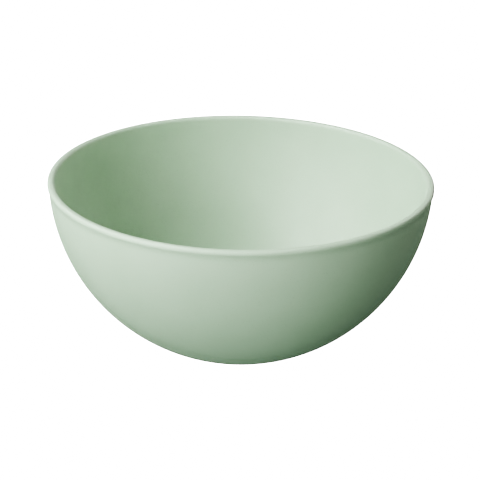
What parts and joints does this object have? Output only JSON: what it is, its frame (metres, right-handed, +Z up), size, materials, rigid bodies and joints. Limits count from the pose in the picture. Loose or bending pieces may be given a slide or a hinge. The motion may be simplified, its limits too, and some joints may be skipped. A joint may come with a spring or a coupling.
{
  "type": "mixing bowl",
  "caption": "Hemispherical mixing bowl in matte plastic, with a rounded lip, a flat base and a soft non-slip ring set into its underside.",
  "frame": {"origin": "centre of the surface that the bowl stands on, which is the lower face of the non-slip ring", "axes": "+Z up along the bowl's axis, towards the open top; the bowl is round, so X and Y are alike"},
  "size_m": [0.25, 0.25, 0.11],
  "materials": {
    "bowl_plastic": "matte, very fine grain, one colour through",
    "ring_silicone": "matte silicone"
  },
  "bodies": {
    "root": {"bowl_shell": "bowl_plastic", "non_slip_ring": "ring_silicone"}
  },
  "joints": []
}
